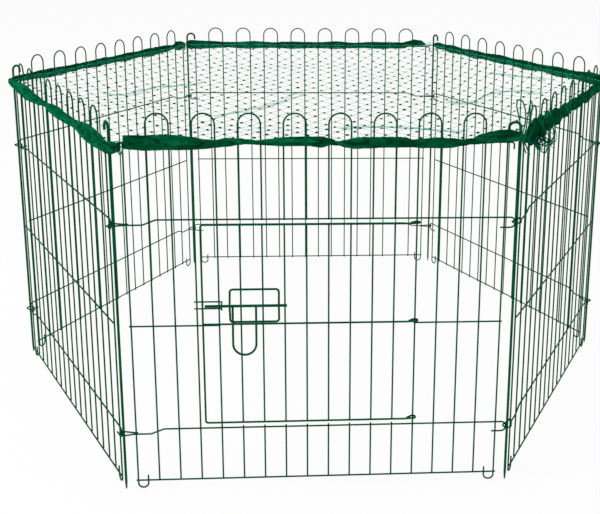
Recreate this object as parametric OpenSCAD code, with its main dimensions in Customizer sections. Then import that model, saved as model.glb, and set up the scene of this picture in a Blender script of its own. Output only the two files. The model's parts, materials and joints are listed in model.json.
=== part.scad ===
// Outdoor run for small pets: six wire panels hinged to each other round corner stakes, a door with a
// slide latch in the front panel, and a net cover with a drawstring hem along each top rail.
// The origin lies on the ground below the middle of the run. X runs along the front panel to the right,
// Y from the front to the back. Each panel is built in its own frame: x along the panel to the right as
// seen from outside, y inwards, z up, with y = 0 in the plane of the upright wires.

/* [Panel wires] */
// Distance between neighbouring upright wires
wire_pitch = 31.4; // [29:0.1:36]
// Distance from the outermost upright to the corner stake's axis
corner_gap = 18.1; // [17:0.1:26]
// Angle by which each side panel turns off the front panel's line
side_turn = 63; // [60:0.5:66]
// Diameter of the upright wires and hairpins
upright_d = 2.4; // [2:0.1:2.8]
// Diameter of the horizontal rails
rail_d = 2.4; // [2:0.1:2.8]
// Depth by which crossing wires sink into each other where they are welded
weld = 0.2; // [0.1:0.05:0.4]
// Gap left between pieces that slide or turn on each other
play = 0.35; // [0.3:0.05:0.5]

/* [Panel heights] */
// Height of the bottom rail's axis above the ground
rail_1 = 14; // [12:1:20]
// Height of the second rail's axis, below the door
rail_2 = 97; // [80:1:110]
// Height of the middle rail's axis
rail_3 = 259; // [240:1:262]
// Height of the fourth rail's axis, above the door
rail_4 = 418; // [405:1:450]
// Height of the top rail's axis
rail_5 = 528; // [500:1:530]
// Height of the top of the hairpin arches
arch_top = 570; // [562:1:620]
// Width of the foot that each side wire is bent into
foot_w = 14.8; // [10:0.1:20]
// Height of the tip of that foot
foot_h = 21; // [18:1:30]

/* [Hinges and stakes] */
// Diameter of the corner stakes
stake_d = 3.8; // [3:0.1:4.4]
// Height of the top of the stakes' crooks
stake_top = 558; // [552:1:600]
// Width of the crook from wire centre to wire centre
crook_w = 17; // [12:0.5:19]
// Length of the crook's free end below the height where its arch starts
crook_tail = 4.6; // [2:0.1:12]
// Length of the stake's ground point
point_len = 10; // [5:1:20]
// Height of the open hinge loop at a rail's right end
loop_drop = 15; // [12:0.5:18]

/* [Door] */
// Diameter of the door's frame wires and middle rail
door_d = 2.8; // [2.4:0.1:3.2]
// Gap from the fourth rail's axis down to the door's top wire axis
door_top_gap = 7; // [5:0.5:12]
// Gap from the second rail's axis up to the door's bottom wire axis
door_low_gap = 10; // [6:0.5:14]
// Distance by which the door's free side reaches past its jamb wire
door_lap = 23; // [17:0.5:26]
// Radius of the door's hinge eyes on the jamb wire, at the wire's centre
door_eye_r = 4; // [3.4:0.1:5]

/* [Latch] */
// Diameter of the latch bolt
bolt_d = 4; // [3:0.1:5]
// Length of the latch bolt
bolt_len = 117; // [110:1:120]
// Height of the bolt's axis above the middle rail's axis
bolt_rise = 31; // [29:0.5:40]
// Travel of the bolt
bolt_travel = 29; // [26:1:29]
// Diameter of the wire of the bolt guide
guide_d = 3.1; // [2.4:0.1:3.4]
// Width of the bolt guide from wire centre to wire centre
guide_w = 69.8; // [69.8:0.1:74]
// Height of the bolt guide from wire centre to wire centre
guide_h = 49.4; // [46:0.1:50]
// Diameter of the handle's wire
handle_d = 3.2; // [2.6:0.1:3.6]
// Width of the handle from wire centre to wire centre
handle_w = 33.2; // [26:0.1:33.5]
// Drop of the handle's lowest wire axis below the bolt's axis
handle_drop = 72.4; // [60:0.1:90]
// Diameter of the keeper's wire
keeper_d = 2.2; // [1.8:0.1:2.6]

/* [Net cover] */
// Thickness of the net
net_t = 1; // [0.6:0.1:1.4]
// Width of one diamond mesh of the net
mesh_w = 68; // [66:1:90]
// Length of one diamond mesh of the net
mesh_l = 94; // [92:1:130]
// Width of the net's threads
thread_w = 2; // [1.5:0.1:3]
// Depth of the hem sleeves, outwards from the rails
hem_depth = 7.6; // [5:0.1:10]
// Diameter of the drawstring
string_d = 2; // [1.6:0.1:2.4]

/* [Hidden] */
$fn = 32;

powder_coat = "#0a5c3c";
stake_coat = "#0a5638";
fabric = "#06683f";
net_green = "#3d7a5c";
cord_green = "#0a4a32";

// Upright wires of one panel, numbered from 0 at its left side, and the pairs that make hairpins
last_wire = 17;
hairpin_starts = [1, 3, 5, 7, 9, 11, 13, 15];
jamb_left = 4;
jamb_right = 13;
door_starts = [5, 7, 9, 11];

overrun = 2.5;         // how far a wire runs past the last one it is welded to
bulge = 0.04;          // a bend is a shade thicker than the straight wire
lap = 0.1;             // how far straight wire reaches into the bend
crumb = 0.3;           // shortest straight stretch between two bends

panel_w = last_wire * wire_pitch + 2 * corner_gap;
half_depth = panel_w * sin(side_turn);
half_width = panel_w * (0.5 + cos(side_turn));
headings = [0, side_turn, 180 - side_turn, 180, 180 + side_turn, 360 - side_turn];
corners = [
    [-panel_w / 2, -half_depth], [panel_w / 2, -half_depth], [half_width, 0],
    [panel_w / 2, half_depth], [-panel_w / 2, half_depth], [-half_width, 0]
];
rail_y = -(upright_d / 2 + rail_d / 2 - weld);

// Hinges: the loop's upright lies beside the stake, and the next panel's eye goes round both
loop_reach = stake_d / 2 + play + rail_d / 2;
eye_r = loop_reach + rail_d + play;
eye_bend_r = eye_r - 0.2;
eye_lead = 2;          // from the side wire out to where the eye's legs start to part
jog_start = 22;        // from the side wire in to where the rail starts to rise from the eye's level
jog_run = 19;
loop_tail = 6;

// Door
door_play = 0.6;       // between the closed door and the rails
door_rest = 0.3;       // between the door's middle rail and the ends of the panel's middle rail
door_y = rail_y - rail_d / 2 - door_d / 2 - door_play;
door_bar_y = door_y + door_d / 2 + upright_d / 2 - weld;
door_top = rail_4 - door_top_gap;
door_low = rail_2 + door_low_gap;
door_mid = rail_3 + rail_d / 2 + door_d / 2 + door_rest;
door_corner_r = 4;
eye_run_in = 12;       // from the jamb's axis to where the door wire bends towards its eye
eye_tail = [8.5, 1.6];

// Latch
bolt_reach = 19.7;     // how far the bolt reaches past the jamb wire
guide_inset = 15.9;    // from the jamb wire to the guide
bolt_z = rail_3 + bolt_rise;
bolt_y = door_bar_y - upright_d / 2 - play - bolt_d / 2;
bolt_tip = wire_x(jamb_left) - bolt_reach;
guide_left = wire_x(jamb_left) + guide_inset;
guide_y = door_bar_y - upright_d / 2 - guide_d / 2 + weld;
guide_out = bolt_y - bolt_d / 2 - play - guide_d / 2;
guide_corner_r = 4.4;
hump_r = 6;
hump_half = 5;
hump_foot = 16;
handle_play = 0.3;
handle_end_play = 0.75;
handle_left = guide_left + guide_d / 2 + handle_d / 2 + handle_end_play;
bar_under = [guide_y - bolt_y, guide_h / 2];
handle_lean = asin((guide_d / 2 + handle_d / 2 + handle_play) / norm(bar_under)) - atan(bar_under[0] / bar_under[1]);
keeper_y = -(upright_d / 2 + keeper_d / 2 - weld);
keeper_play = 0.6;     // between the keeper's closed end and the bolt
keeper_spare = 2.1;    // between each of its arms and the bolt
keeper_past = 4.3;     // how far it reaches past the jamb wire
keeper_lead = 3.5;     // how far its open end reaches past the wire before
keeper_r = 2.5;
keeper_out = bolt_y - bolt_d / 2 - keeper_play - keeper_d / 2;
keeper_half = bolt_d / 2 + keeper_d / 2 + keeper_spare;
keeper_end = wire_x(jamb_left) + keeper_past;

// Net and hems
seam_gap = 0.3;
net_z = rail_5 + rail_d / 2 + seam_gap;
net_edge = -rail_y + rail_d / 2;
slot_half = upright_d / 2 + 0.6;
crook_slot = stake_d / 2 + 0.5;
mesh_margin = 9;       // width of the net's plain border
mesh_slack = 12;       // how far outside that border's inner edge a mesh's middle may lie
hem_end = 6;           // from the stake's axis to the end of each hem
hem_y = -net_edge - seam_gap;
hem_rings = 30;
hem_sides = 8;

// Lower and upper edge of each hem sleeve along its panel: place, lower edge, upper edge, from the top rail
hem_shape_front = [
    [-279, -9, 13], [-158, -6, 8], [-83, -3, 5], [-50, -4, 10], [18, -6, 9], [33, -4, 3],
    [60, -8, 9], [115, -8, 9], [183, -6, 7], [224, -2, 9], [245, 2, 18], [279, 3, 19]
];
hem_shape_right_front = [
    [-279, -9, 19], [-230, -11, 29], [-170, -9, 25], [-94, -4, 21], [0, -7, 15], [120, -8, 13], [279, -8, 13]
];
hem_shape_right_back = [[-279, -8, 12], [-100, -7, 9], [60, -8, 10], [279, -4, 8]];
hem_shape_back = [[-279, -4, 8], [-120, -6, 9], [20, -8, 9], [140, -7, 11], [279, -10, 12]];
hem_shape_left_back = [[-279, -8, 10], [-60, -8, 9], [90, -6, 10], [279, -9, 9]];
hem_shape_left_front = [
    [-279, -9, 10], [-120, -9, 13], [-10, -6, 6], [25, -5, 6], [90, -11, 12], [200, -11, 12], [279, -13, 13]
];

// Routes of the drawstring, from the front right stake's axis in the front panel's frame, height from the ground
string_left_route = [
    [-5.5, -7.6, 541], [-3, -8, 540], [0, -8.6, 538], [-1.5, -8.6, 546], [-4.5, -8, 560], [-8, -7.6, 574],
    [-9.5, -7.4, 583], [-7.5, -7.2, 588.5], [-3, -7.2, 588], [1, -7.2, 581], [3.5, -7.6, 571], [3.5, -8, 559],
    [2, -8.6, 548], [0, -9.6, 539], [0.5, -11, 531], [2.5, -11.5, 523], [6, -11.5, 514]
];
string_right_route = [
    [9.9, 1.1, 536], [8.6, -1.4, 536], [6, -5, 537], [2, -9.4, 537], [4, -10.4, 545], [5.5, -10, 560],
    [7.5, -9.4, 574], [9, -9, 583.5], [10.6, -8.8, 585.5], [11.8, -9, 581], [11, -9.6, 568], [8.5, -10, 554],
    [5, -11, 543], [2, -11.8, 536], [4, -12.6, 528], [7.5, -13, 520], [11, -13, 512]
];
knot_place = [1, -10, 538];
knot_r = 3.2;
// Route of the loose drawstring slack that hangs over the right front hem, in that panel's frame
string_loose_route = [
    [-262, -12.6, 530], [-254, -13, 525], [-244, -13, 517], [-235, -12, 508], [-228, -11.5, 507],
    [-222, -12.4, 515], [-218, -12.8, 527], [-213, -12.8, 540], [-207, -12.8, 549], [-200, -12.8, 551],
    [-194, -12.8, 546], [-191, -12.8, 536], [-192, -12.8, 525], [-197, -12.8, 517], [-204, -13.2, 516],
    [-210, -14.2, 522], [-214, -15.4, 531], [-222, -15.4, 541], [-232, -13, 547]
];

// ---- Wire work ----

function unit(v) = v / norm(v);

// Angle by which the wire turns between two directions
function turn(u, w) = acos(max(-1, min(1, u * w)));

// Place of upright wire k in its panel
function wire_x(k) = (k - last_wire / 2) * wire_pitch;

// Outward direction of panel i
function outward(i) = [sin(headings[i]), -cos(headings[i])];

// Height at which a line from a point beside a ring, at a along it and b beside it, crosses the tangent
// on the ring's far side, when it touches the ring of radius r on its way
function eye_corner(a, b, r) = let (phi = atan2(b, a) + acos(r / norm([a, b]))) r * (1 + cos(phi)) / sin(phi);

module rod(a, b, d) {
    along = b - a;
    translate(a)
        rotate([0, acos(along[2] / norm(along)), atan2(along[1], along[0])])
            cylinder(d = d, h = norm(along));
}

// Arc of wire that turns from direction u to direction w at a corner
module bend(corner, u, w, r, d) {
    angle = turn(u, w);
    ez = unit(cross(u, w));
    ex = -cross(ez, u);
    c = corner - u * r * tan(angle / 2) - ex * r;
    multmatrix([[ex[0], u[0], ez[0], c[0]], [ex[1], u[1], ez[1], c[1]], [ex[2], u[2], ez[2], c[2]]])
        rotate_extrude(angle = angle)
            translate([r, 0])
                circle(d = d);
}

// Wire through a list of corners, each rounded to its radius. A closed wire returns to its first corner.
module bent_wire(points, radii, d, closed = false) {
    n = len(points);
    runs = closed ? n : n - 1;
    dirs = [for (i = [0:runs - 1]) unit(points[(i + 1) % n] - points[i])];
    bends = [for (i = [closed ? 0 : 1:closed ? n - 1 : n - 2]) i];
    cuts = [
        for (i = [0:n - 1])
            len(search(i, bends)) == 0 ? 0 : radii[i] * tan(turn(dirs[(i - 1 + runs) % runs], dirs[i]) / 2) - lap
    ];
    for (i = [0:runs - 1])
        rod(points[i] + dirs[i] * cuts[i], points[(i + 1) % n] - dirs[i] * cuts[(i + 1) % n], d);
    for (i = bends)
        bend(points[i], dirs[(i - 1 + runs) % runs], dirs[i], radii[i], d + bulge);
}

module on_panel(i) {
    translate((corners[i] + corners[(i + 1) % 6]) / 2)
        rotate(headings[i])
            children();
}

// ---- Panels ----

module hairpin(k, bottom) {
    top = arch_top - upright_d / 2;
    r = wire_pitch / 2 - crumb;
    corners = [[wire_x(k), 0, bottom], [wire_x(k), 0, top], [wire_x(k + 1), 0, top], [wire_x(k + 1), 0, bottom]];
    bent_wire(corners, [0, r, r, 0], upright_d);
}

module hairpins(starts = hairpin_starts) {
    for (k = starts)
        hairpin(k, rail_1 - 2);
}

// Side wires, each bent at the ground into a foot that turns up again inside the panel
module side_wires() {
    foot_z = upright_d / 2 + bulge / 2;
    r = foot_w / 2 - crumb;
    for (side = [0, 1])
        mirror([side, 0, 0]) {
            x = wire_x(0);
            corners = [[x, 0, rail_5 + 1], [x, 0, foot_z], [x + foot_w, 0, foot_z], [x + foot_w, 0, foot_h]];
            bent_wire(corners, [0, r, r, 0], upright_d);
        }
}

module plain_rail(z, from, to) {
    rod([from, rail_y, z], [to, rail_y, z], rail_d);
}

// Top rail, its ends turned down beside the stakes
module top_rail() {
    reach = panel_w / 2 - corner_gap / 2;
    corners = [
        [-reach, rail_y, rail_5 - 10], [-reach, rail_y, rail_5], [reach, rail_y, rail_5], [reach, rail_y, rail_5 - 10]
    ];
    bent_wire(corners, [0, 4, 4, 0], rail_d);
}

// Rail with an eye round the stake at its left end and an open loop beside the stake at its right end
module hinge_rail(z) {
    left = -panel_w / 2;
    right = panel_w / 2;
    z_eye = z - loop_drop / 2;
    legs = corner_gap - eye_lead;
    spread = eye_corner(legs, -rail_y, eye_r);
    loop_x = right - sqrt(loop_reach * loop_reach - rail_y * rail_y);
    loop_r = loop_drop / 2 - crumb;
    corners = [
        [left + corner_gap + overrun, -rail_y, z_eye],
        [left + legs, -rail_y, z_eye],
        [left - eye_r, spread, z_eye],
        [left - eye_r, -spread, z_eye],
        [left + legs, rail_y, z_eye],
        [left + corner_gap + jog_start, rail_y, z_eye],
        [left + corner_gap + jog_start + jog_run, rail_y, z],
        [loop_x, rail_y, z],
        [loop_x, rail_y, z - loop_drop],
        [right - corner_gap - loop_tail, rail_y, z - loop_drop]
    ];
    bent_wire(corners, [0, 3, eye_bend_r, eye_bend_r, 3, 8, 8, loop_r, loop_r, 0], rail_d);
}

module outer_rails() {
    plain_rail(rail_1, wire_x(0) - overrun, wire_x(last_wire) + overrun);
    hinge_rail(rail_2);
    hinge_rail(rail_4);
    top_rail();
}

module rails() {
    outer_rails();
    plain_rail(rail_3, wire_x(0) - overrun, wire_x(last_wire) + overrun);
}

module front_hairpins() {
    color(powder_coat)
        on_panel(0) {
            hairpins([for (k = hairpin_starts) if (k < jamb_left || k >= jamb_right) k]);
            for (k = door_starts)
                hairpin(k, rail_4 - 2);
        }
}

module front_lower_bars() {
    color(powder_coat)
        on_panel(0)
            for (k = [jamb_left + 1:jamb_right - 1])
                rod([wire_x(k), 0, rail_1 - 2], [wire_x(k), 0, rail_2 + 2], upright_d);
}

module front_side_wires() {
    color(powder_coat)
        on_panel(0)
            side_wires();
}

// Rails of the front panel, whose middle rail is left out across the doorway
module front_rails() {
    color(powder_coat)
        on_panel(0) {
            outer_rails();
            plain_rail(rail_3, wire_x(0) - overrun, wire_x(jamb_left) + 2);
            plain_rail(rail_3, wire_x(jamb_right) - 2, wire_x(last_wire) + overrun);
        }
}

module panel_hairpins(i) {
    color(powder_coat)
        on_panel(i)
            hairpins();
}

module panel_side_wires(i) {
    color(powder_coat)
        on_panel(i)
            side_wires();
}

module panel_rails(i) {
    color(powder_coat)
        on_panel(i)
            rails();
}

// ---- Door ----

// Corners of a hinge eye round the right jamb wire, from its free tail to the run-in, at height z
function door_eye(z) =
    let (x = wire_x(jamb_right), r = door_eye_r)
        [
            [x - eye_tail[0], -eye_tail[1], z],
            [x + r, eye_corner(eye_tail[0], -eye_tail[1], r), z],
            [x + r, -eye_corner(eye_run_in, -door_y, r), z],
            [x - eye_run_in, door_y, z]
        ];

function reversed(list) = [for (i = [len(list) - 1:-1:0]) list[i]];

module door_frame() {
    free_x = wire_x(jamb_left) - door_lap;
    bend_r = door_eye_r - 0.1;
    corners = concat(
        door_eye(door_top),
        [[free_x, door_y, door_top], [free_x, door_y, door_low]],
        reversed(door_eye(door_low))
    );
    radii = [0, bend_r, bend_r, 8, door_corner_r, door_corner_r, 8, bend_r, bend_r, 0];
    color(powder_coat)
        on_panel(0)
            bent_wire(corners, radii, door_d);
}

module door_bars() {
    color(powder_coat)
        on_panel(0)
            for (k = [jamb_left + 1:jamb_right - 1])
                rod([wire_x(k), door_bar_y, door_low - 1], [wire_x(k), door_bar_y, door_top + 1], upright_d);
}

module door_mid_rail() {
    bend_r = door_eye_r - 0.1;
    end_x = wire_x(jamb_left) - door_lap + door_d / 2 - weld;
    color(powder_coat)
        on_panel(0)
            bent_wire(concat(door_eye(door_mid), [[end_x, door_y, door_mid]]), [0, bend_r, bend_r, 8, 0], door_d);
}

// ---- Latch ----

// Rectangular wire welded on two door bars. Its upright sides stand out round the bolt.
module latch_guide() {
    low = bolt_z - guide_h / 2;
    high = bolt_z + guide_h / 2;
    function side(x) = [
        [x, guide_y, low], [x, guide_y, bolt_z - hump_foot], [x, guide_out, bolt_z - hump_half],
        [x, guide_out, bolt_z + hump_half], [x, guide_y, bolt_z + hump_foot], [x, guide_y, high]
    ];
    side_radii = [guide_corner_r, hump_r, hump_r, hump_r, hump_r, guide_corner_r];
    color(powder_coat)
        on_panel(0)
            bent_wire(
                concat(side(guide_left), reversed(side(guide_left + guide_w))),
                concat(side_radii, side_radii), guide_d, closed = true
            );
}

module latch_bolt() {
    color(powder_coat)
        on_panel(0)
            rod([bolt_tip, bolt_y, bolt_z], [bolt_tip + bolt_len, bolt_y, bolt_z], bolt_d);
}

// Handle that hangs from the bolt, its legs cut to saddles that fit round the bolt
module latch_handle() {
    r = handle_w / 2 - crumb;
    color(powder_coat)
        on_panel(0)
            translate([handle_left, bolt_y, bolt_z])
                rotate([-handle_lean, 0, 0])
                    difference() {
                        bent_wire(
                            [[0, 0, 0], [0, 0, -handle_drop], [handle_w, 0, -handle_drop], [handle_w, 0, 0]],
                            [0, r, r, 0], handle_d
                        );
                        rod([-handle_d, 0, 0], [handle_w + handle_d, 0, 0], bolt_d + 2 * handle_play);
                    }
}

// Keeper on two panel wires, its closed end standing out round the tip of the bolt
module latch_keeper() {
    start = wire_x(jamb_left - 1) - keeper_lead;
    up = bolt_z + keeper_half;
    down = bolt_z - keeper_half;
    corners = [
        [start, keeper_y, up], [keeper_end, keeper_y, up], [keeper_end, keeper_out, up],
        [keeper_end, keeper_out, down], [keeper_end, keeper_y, down], [start, keeper_y, down]
    ];
    color(powder_coat)
        on_panel(0)
            bent_wire(corners, [0, keeper_r, keeper_r, keeper_r, keeper_r, 0], keeper_d);
}

// ---- Stakes ----

// Stake at the right end of panel i, its crook turned back over that panel
module stake(i) {
    top = stake_top - stake_d / 2;
    r = crook_w / 2 - crumb;
    corners = [[0, 0, point_len], [0, 0, top], [-crook_w, 0, top], [-crook_w, 0, top - crook_w / 2 - crook_tail]];
    color(stake_coat)
        on_panel(i)
            translate([panel_w / 2, 0, 0]) {
                bent_wire(corners, [0, r, r, 0], stake_d);
                cylinder(d1 = 2, d2 = stake_d, h = point_len);
            }
}

// ---- Net cover ----

// Hexagon whose edges lie the given distance outside the panels' planes
module net_hexagon(out) {
    polygon([
        for (i = [0:5])
            let (a = outward((i + 5) % 6), b = outward(i)) corners[i] + (a + b) * out / (1 + a * b)
    ]);
}

function inside_net(p) =
    max([for (i = [0:5]) (p - corners[i]) * outward(i)]) < net_edge - mesh_margin + mesh_slack;

// Diamond meshes of the net. Those at its border are cut off by it.
function mesh_places() = [
    for (row = [-24:24])
        for (col = [-12:12])
            let (p = [(col + (row % 2 == 0 ? 0 : 0.5)) * mesh_w, row * mesh_l / 2])
                if (inside_net(p)) p
];

module mesh_gap() {
    half_w = mesh_w / 2 - thread_w / 2 * norm([mesh_w, mesh_l]) / mesh_l;
    half_l = half_w * mesh_l / mesh_w;
    polygon([[half_w, 0], [0, half_l], [-half_w, 0], [0, -half_l]]);
}

// Net on the top rails, with slots that let it pass the arches and the stakes' crooks
module net_cover() {
    color(net_green)
        translate([0, 0, net_z])
            linear_extrude(net_t)
                difference() {
                    net_hexagon(net_edge);
                    intersection() {
                        net_hexagon(net_edge - mesh_margin);
                        for (p = mesh_places())
                            translate(p)
                                mesh_gap();
                    }
                    for (i = [0:5])
                        on_panel(i) {
                            for (k = hairpin_starts)
                                translate([wire_x(k) - slot_half, -slot_half])
                                    square([wire_pitch + 2 * slot_half, 2 * slot_half]);
                            translate([panel_w / 2 - crook_w - crook_slot, -crook_slot])
                                square([crook_w + crook_slot, 2 * crook_slot]);
                            translate([panel_w / 2, 0])
                                circle(r = hem_end);
                        }
                }
}

// Value in column c of a shape list at place x, eased between its stations
function eased(shape, x, c) =
    let (
        i = max([for (k = [0:len(shape) - 2]) if (shape[k][0] <= x + 0.001) k]),
        t = (x - shape[i][0]) / (shape[i + 1][0] - shape[i][0])
    ) shape[i][c] + (shape[i + 1][c] - shape[i][c]) * t * t * (3 - 2 * t);

// Triangles of a tube of rings with closed ends
function tube_faces(rings, sides) = concat(
    [for (i = [0:rings - 2]) for (j = [0:sides - 1]) [i * sides + j, i * sides + (j + 1) % sides, (i + 1) * sides + j]],
    [
        for (i = [0:rings - 2])
            for (j = [0:sides - 1]) [i * sides + (j + 1) % sides, (i + 1) * sides + (j + 1) % sides, (i + 1) * sides + j]
    ],
    [for (j = [1:sides - 2]) [0, j + 1, j]],
    [for (j = [1:sides - 2]) [(rings - 1) * sides, (rings - 1) * sides + j, (rings - 1) * sides + j + 1]]
);

// Hem sleeve on the outside of panel i's top rail, full in some places and drawn thin in others
module hem(i, shape) {
    reach = panel_w / 2 - hem_end;
    stretch = reach / 279;
    points = [
        for (n = [0:hem_rings])
            let (
                s = -279 + 558 * n / hem_rings,
                low = eased(shape, s, 1),
                high = eased(shape, s, 2),
                depth = hem_depth * (0.55 + 0.45 * min(1, (high - low) / 18))
            )
                for (j = [0:hem_sides - 1])
                    let (a = 360 * (j + 0.5) / hem_sides)
                        [
                            s * stretch,
                            hem_y - depth / 2 - depth / 2 * sin(a) / cos(180 / hem_sides),
                            rail_5 + (low + high) / 2 + (high - low) / 2 * cos(a) / cos(180 / hem_sides)
                        ]
    ];
    color(fabric)
        on_panel(i)
            polyhedron(points, tube_faces(hem_rings + 1, hem_sides));
}

// ---- Drawstring ----

// Point on the smooth curve through four neighbouring points
function curve_point(a, b, c, d, t) =
    0.5 * (2 * b + (c - a) * t + (2 * a - 5 * b + 4 * c - d) * t * t + (3 * b - a - 3 * c + d) * t * t * t);

// Route with one more point on the curve between each two of its points
function smoothed(p) =
    let (n = len(p))
        [
            for (i = [0:2 * n - 2])
                let (k = floor(i / 2))
                    i % 2 == 0 ? p[k] : curve_point(p[max(0, k - 1)], p[k], p[k + 1], p[min(n - 1, k + 2)], 0.5)
        ];

// Side directions carried along a route without twisting
function carried(route, i, side) =
    i == len(route)
        ? []
        : let (
            along = unit(route[min(len(route) - 1, i + 1)] - route[max(0, i - 1)]),
            s = unit(side - along * (side * along))
        ) concat([[s, cross(along, s)]], carried(route, i + 1, s));

module string(points, side) {
    route = smoothed(points);
    frames = carried(route, 0, side);
    sides = 8;
    rings = [
        for (i = [0:len(route) - 1])
            for (j = [0:sides - 1])
                route[i] + string_d / 2 * (cos(360 * j / sides) * frames[i][0] + sin(360 * j / sides) * frames[i][1])
    ];
    polyhedron(rings, tube_faces(len(route), sides));
}

module at_front_right() {
    on_panel(0)
        translate([panel_w / 2, 0, 0])
            children();
}

module drawstring_left() {
    color(cord_green)
        at_front_right()
            string(string_left_route, [0, 0, 1]);
}

module drawstring_right() {
    color(cord_green)
        at_front_right()
            string(string_right_route, [0, 0, 1]);
}

module drawstring_knot() {
    color(cord_green)
        at_front_right()
            translate(knot_place) {
                sphere(r = knot_r);
                rotate_extrude()
                    translate([knot_r, 0])
                        circle(d = string_d);
            }
}

module drawstring_loose() {
    color(cord_green)
        on_panel(1)
            string(string_loose_route, [0, 1, 0]);
}

front_hairpins();
front_lower_bars();
front_side_wires();
front_rails();
panel_hairpins(1);  // right_front_hairpins
panel_side_wires(1);  // right_front_side_wires
panel_rails(1);  // right_front_rails
panel_hairpins(2);  // right_back_hairpins
panel_side_wires(2);  // right_back_side_wires
panel_rails(2);  // right_back_rails
panel_hairpins(3);  // back_hairpins
panel_side_wires(3);  // back_side_wires
panel_rails(3);  // back_rails
panel_hairpins(4);  // left_back_hairpins
panel_side_wires(4);  // left_back_side_wires
panel_rails(4);  // left_back_rails
panel_hairpins(5);  // left_front_hairpins
panel_side_wires(5);  // left_front_side_wires
panel_rails(5);  // left_front_rails
door_frame();
door_bars();
door_mid_rail();
latch_guide();
latch_bolt();
latch_handle();
latch_keeper();
stake(0);  // stake_front_right
stake(1);  // stake_right
stake(2);  // stake_back_right
stake(3);  // stake_back_left
stake(4);  // stake_left
stake(5);  // stake_front_left
net_cover();
hem(0, hem_shape_front);  // hem_front
hem(1, hem_shape_right_front);  // hem_right_front
hem(2, hem_shape_right_back);  // hem_right_back
hem(3, hem_shape_back);  // hem_back
hem(4, hem_shape_left_back);  // hem_left_back
hem(5, hem_shape_left_front);  // hem_left_front
drawstring_left();
drawstring_right();
drawstring_knot();
drawstring_loose();
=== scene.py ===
import json
import math

import bpy
import numpy as np
from mathutils import Euler, Matrix, Vector, noise


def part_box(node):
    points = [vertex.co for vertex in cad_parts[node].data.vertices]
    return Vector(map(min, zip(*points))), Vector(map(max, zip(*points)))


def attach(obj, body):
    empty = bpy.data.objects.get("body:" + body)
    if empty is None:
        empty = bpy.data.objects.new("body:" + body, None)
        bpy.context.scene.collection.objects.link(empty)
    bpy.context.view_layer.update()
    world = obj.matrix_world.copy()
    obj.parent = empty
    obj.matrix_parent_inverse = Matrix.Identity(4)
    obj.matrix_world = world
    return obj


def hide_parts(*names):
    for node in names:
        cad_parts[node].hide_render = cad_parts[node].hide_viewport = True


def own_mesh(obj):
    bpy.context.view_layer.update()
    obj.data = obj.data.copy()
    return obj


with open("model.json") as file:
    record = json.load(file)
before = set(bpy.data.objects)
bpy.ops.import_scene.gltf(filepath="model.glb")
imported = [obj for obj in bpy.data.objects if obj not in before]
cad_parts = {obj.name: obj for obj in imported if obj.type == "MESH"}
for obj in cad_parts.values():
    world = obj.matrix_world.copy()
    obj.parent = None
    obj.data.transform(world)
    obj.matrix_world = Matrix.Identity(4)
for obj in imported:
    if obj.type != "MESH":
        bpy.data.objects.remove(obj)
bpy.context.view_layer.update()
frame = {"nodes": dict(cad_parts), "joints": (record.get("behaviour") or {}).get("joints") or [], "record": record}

# The run stands on the ground round the origin, in metres. A panel's own places are along it to the
# right as seen from outside, inwards from the upright wires' plane, and up from the ground.
mm = 0.001
upwards = Vector((0, 0, 1))
panelNames = ["front", "right_front", "right_back", "back", "left_back", "left_front"]
wires = {
    "radius": 1.2 * mm,
    "pitch": 31.4 * mm,     # from upright to upright
    "last": 17,             # number of a panel's last upright, the first being 0
}


def hingePlace(name):
    return next(Vector(j["pos_m"]) for j in frame["joints"] if j["name"] == name)


# The back right corner has no joint of its own, and lies opposite the front left one
frontLeft, frontRight = hingePlace("fold"), hingePlace("fold_front_right")
left, right, backLeft = hingePlace("fold_left"), hingePlace("fold_right"), hingePlace("fold_back_left")
corners = [frontLeft, frontRight, right, -frontLeft, backLeft, left]
panelWidth = (frontRight - frontLeft).length
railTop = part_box("front_rails")[1].z
railAxis = railTop - wires["radius"]


def along(i):
    return (corners[(i + 1) % 6] - corners[i]).normalized()


def middleOf(i):
    return (corners[i] + corners[(i + 1) % 6]) / 2


def panelPoint(i, s, y, z):
    # A place on panel i, as a point of the run
    u = along(i)
    inwards = Vector((-u.y, u.x, 0))
    return middleOf(i) + u * s + inwards * y + Vector((0, 0, z))


def smoothStep(x):
    x = max(0.0, min(1.0, x))
    return x * x * (3 - 2 * x)


def eased(stations, s, column):
    # Value of a column of a station list at place s, eased between its stations
    if s <= stations[0][0]:
        return stations[0][column]
    for a, b in zip(stations, stations[1:]):
        if s <= b[0]:
            return a[column] + (b[column] - a[column]) * smoothStep((s - a[0]) / (b[0] - a[0]))
    return stations[-1][column]


def meshPiece(name, vertices, faces):
    mesh = bpy.data.meshes.new(name)
    mesh.from_pydata([tuple(v) for v in vertices], [], faces)
    mesh.update()
    mesh.polygons.foreach_set("use_smooth", [True] * len(mesh.polygons))
    piece = bpy.data.objects.new(name, mesh)
    bpy.context.scene.collection.objects.link(piece)
    return piece


def addMesh(vertices, faces, more):
    faces += [tuple(v + len(vertices) for v in face) for face in more[1]]
    vertices += more[0]


def pointValues(piece, name, values):
    # One value for each vertex, which the piece's material reads by its name
    attribute = piece.data.attributes.new(name, "FLOAT", "POINT")
    attribute.data.foreach_set("value", values)


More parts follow.
